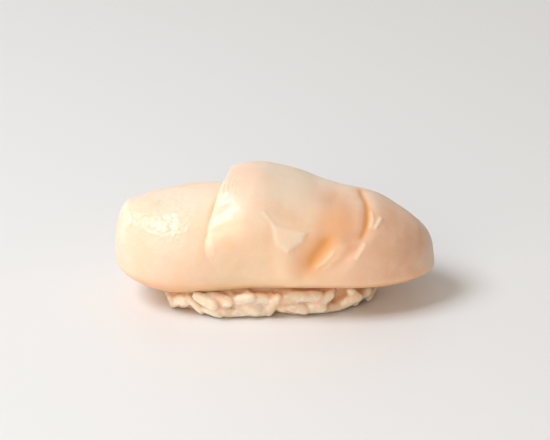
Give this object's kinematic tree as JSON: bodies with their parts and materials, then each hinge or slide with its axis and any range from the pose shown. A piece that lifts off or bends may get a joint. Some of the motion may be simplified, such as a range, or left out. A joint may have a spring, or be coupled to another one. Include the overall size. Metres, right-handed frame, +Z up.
{
  "type": "scallop nigiri sushi",
  "caption": "Raw scallop slice folded and draped over a hand-pressed block of short-grain sushi rice; a display or place-setting food piece.",
  "frame": {"origin": "on the surface it stands on, under the middle of the piece's bounding box", "axes": "+X along the piece towards its tapered end, -Y to the front that the picture shows, +Z up"},
  "size_m": [0.0754, 0.0356, 0.0329],
  "materials": {
    "scallop": "wet, translucent raw scallop flesh, pale cream on the left to warm amber in the folds",
    "rice": "moist cooked short-grain rice, slightly translucent"
  },
  "bodies": {
    "root": {"scallop": "scallop", "rice": "rice"}
  },
  "joints": []
}
